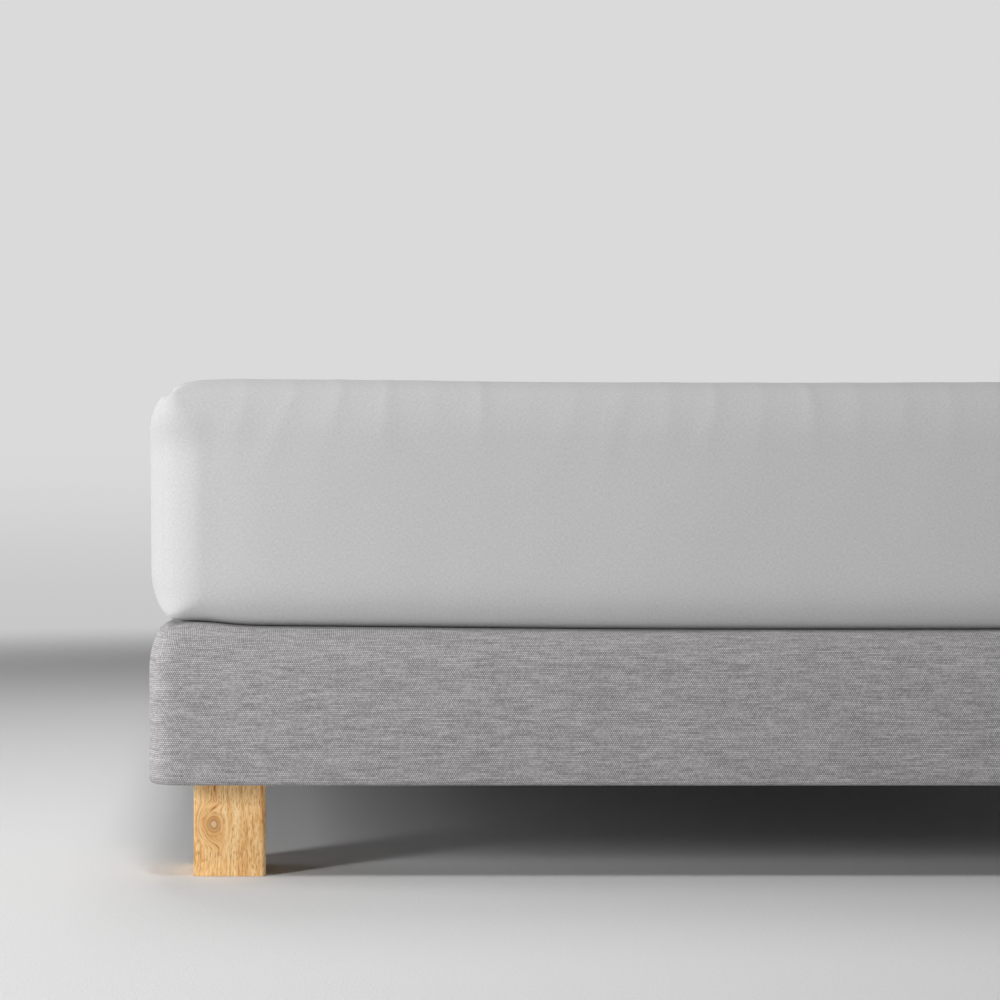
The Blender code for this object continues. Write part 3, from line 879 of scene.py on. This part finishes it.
# Studio ----------------------------------------------------------------------------------------
# A plain pale floor that fades out into a pale surround, a low key light at the front left, a low
# softbox left of the bed, two high ones in front of its foot end and two over it and its left side,
# and the camera level with the bed and square to its foot end.

FLOOR_SIZE = 24.0
FLOOR_FADE = (1.9, 3.6)
# The surround is darker at and below the horizon than above it: painted shade, as at the foot of a
# wall.
SURROUND_LOW = "c8c8c8"
SURROUND_HIGH = "dadada"
CAMERA_PLACE = (-0.587, -3.136, 0.3916)
CAMERA_LENS = 75.35
CAMERA_SHIFT = 0.238
bpy.ops.object.select_all(action="DESELECT")
bpy.ops.mesh.primitive_plane_add(size=FLOOR_SIZE, location=(0.0, 0.0, 0.0))
floor = bpy.context.object
floor.name = floor.data.name = "floor"


def make_floor():
    """Pale cast screed, ground and sealed: matt, nearly even, with a fine grain."""
    material = new_material("pale_screed")
    place = add_node(material, "TexCoord").outputs["Object"]
    # Its sand is 0.5 mm wide. It is drawn 2 mm wide, so that it shows.
    grain = add_node(material, "TexNoise", Vector=place, Scale=420.0, Detail=3.0)
    colour = add_node(material, "ValToRGB", Fac=grain)
    set_stops(colour, ((0.3, "d6d6d6"), (0.7, "dfdfdf")))
    bump = add_node(material, "Bump", Height=grain, Strength=0.25, Distance=0.001)
    surface = add_node(material, "BsdfPrincipled", Base_Color=colour, Roughness=0.85, Normal=bump)
    clear = add_node(material, "BsdfTransparent")
    reach = add_node(material, "VectorMath", operation="LENGTH", in0=place).outputs["Value"]
    fade = add_node(material, "MapRange", interpolation_type="SMOOTHSTEP", Value=reach,
                    From_Min=FLOOR_FADE[0], From_Max=FLOOR_FADE[1])
    mix = add_node(material, "MixShader", in0=fade, in1=surface, in2=clear)
    add_node(material, "OutputMaterial", Surface=mix)
    return material


floor.data.materials.append(make_floor())
floor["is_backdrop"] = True

scene = bpy.context.scene
scene.view_settings.view_transform = "Standard"
world = bpy.data.worlds.new("pale_surround")
scene.world = world
world.use_nodes = True
world.node_tree.nodes.clear()
direction = add_node(world, "SeparateXYZ", Vector=add_node(world, "TexCoord").outputs["Generated"])
# Seen from the camera, the surround turns darker at and below the horizon: painted shade.
over_horizon = add_node(world, "MapRange", interpolation_type="SMOOTHSTEP",
                        Value=direction.outputs["Z"], From_Min=-0.06, From_Max=0.03)
seen_colour = add_node(world, "Mix", data_type="RGBA", Factor=over_horizon,
                       in6=linear(SURROUND_LOW), in7=linear(SURROUND_HIGH))
seen = add_node(world, "Background", Color=seen_colour.outputs[2])
# The surround lights from the horizon only, so that it reaches the floor under the bed.
off_level = add_node(world, "Math", operation="ABSOLUTE", in0=direction.outputs["Z"])
strength = add_node(world, "MapRange", Value=off_level, From_Min=0.05, From_Max=0.30, To_Min=1.33,
                    To_Max=0.01)
lighting = add_node(world, "Background", Color=linear("ffffff"), Strength=strength)
is_seen = add_node(world, "LightPath").outputs["Is Camera Ray"]
surround = add_node(world, "MixShader", in0=is_seen, in1=lighting, in2=seen)
add_node(world, "OutputWorld", Surface=surround)


def add_softbox(name, place, target, width, height, power):
    """A rectangular area light aimed at a point, itself out of sight."""
    lamp = bpy.data.lights.new(name, "AREA")
    lamp.shape = "RECTANGLE"
    lamp.size = width
    lamp.size_y = height
    lamp.energy = power
    softbox = bpy.data.objects.new(name, lamp)
    softbox.location = place
    softbox.rotation_euler = (Vector(target) - Vector(place)).to_track_quat("-Z", "Y").to_euler()
    softbox.visible_camera = False
    scene.collection.objects.link(softbox)


add_softbox("low_key", (-2.885, -2.72, 1.0), (-0.5, -0.9, 0.2), 0.45, 0.70, 57.0)
add_softbox("low_left_softbox", (-3.2, -0.5, 0.6), (-0.7, -0.5, 0.2), 1.4, 0.5, 16.0)
add_softbox("high_softbox", (-0.5, -2.6, 3.4), (0.0, -0.8, 0.0), 0.5, 0.5, 31.0)
add_softbox("high_left_softbox", (-1.9, -2.2, 3.0), (-0.3, -0.9, 0.2), 0.6, 0.6, 23.0)
add_softbox("overhead_softbox", (-0.8, 0.3, 3.0), (-0.5, -0.6, 0.4), 1.2, 1.2, 24.0)
add_softbox("overhead_left_softbox", (-2.6, -0.9, 2.6), (-0.5, -0.9, 0.3), 0.8, 0.8, 8.6)

camera_data = bpy.data.cameras.new("camera")
camera_data.lens = CAMERA_LENS
camera_data.sensor_width = 36.0
camera_data.shift_x = CAMERA_SHIFT
camera = bpy.data.objects.new("camera", camera_data)
camera.location = CAMERA_PLACE
camera.rotation_euler = (math.radians(90.0), 0.0, 0.0)
scene.collection.objects.link(camera)
scene.camera = camera

low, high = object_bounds()
